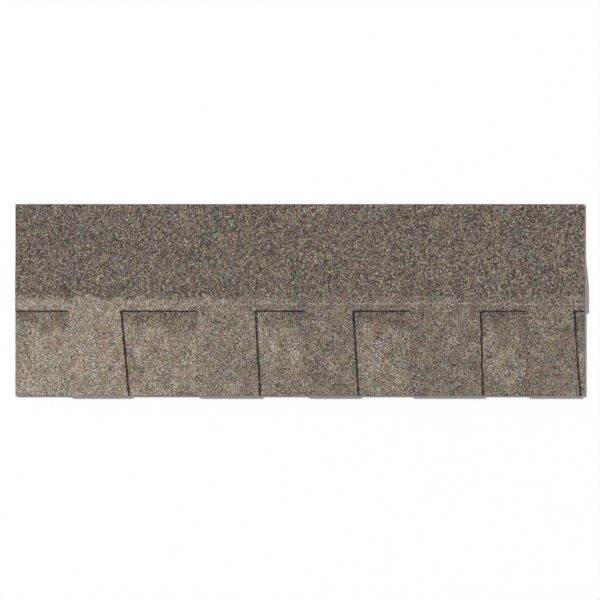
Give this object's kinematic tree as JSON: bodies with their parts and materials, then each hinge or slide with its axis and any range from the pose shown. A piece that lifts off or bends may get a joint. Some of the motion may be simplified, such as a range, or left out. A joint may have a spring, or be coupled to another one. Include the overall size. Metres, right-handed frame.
{
  "type": "laminated asphalt shingle",
  "caption": "Laminated asphalt roofing shingle: a granule-faced sheet cut into flared teeth, bonded over a plain backing strip, with sealant under its lower edge.",
  "frame": {"origin": "under the middle of the shingle, on the surface that it lies on", "axes": "+X along the shingle, +Y from the butt edge up the roof slope, +Z out of the granule face"},
  "size_m": [1, 0.337, 0.0068],
  "materials": {
    "granule_surface": "matte",
    "backing_granules": "matte",
    "asphalt_adhesive": "satin",
    "sealant": "gloss",
    "film": "gloss"
  },
  "bodies": {
    "root": {"overlay_sheet": "granule_surface", "backing_strip": "backing_granules", "laminating_adhesive": "asphalt_adhesive", "sealant_dashes": "sealant", "release_film": "film"}
  },
  "joints": []
}
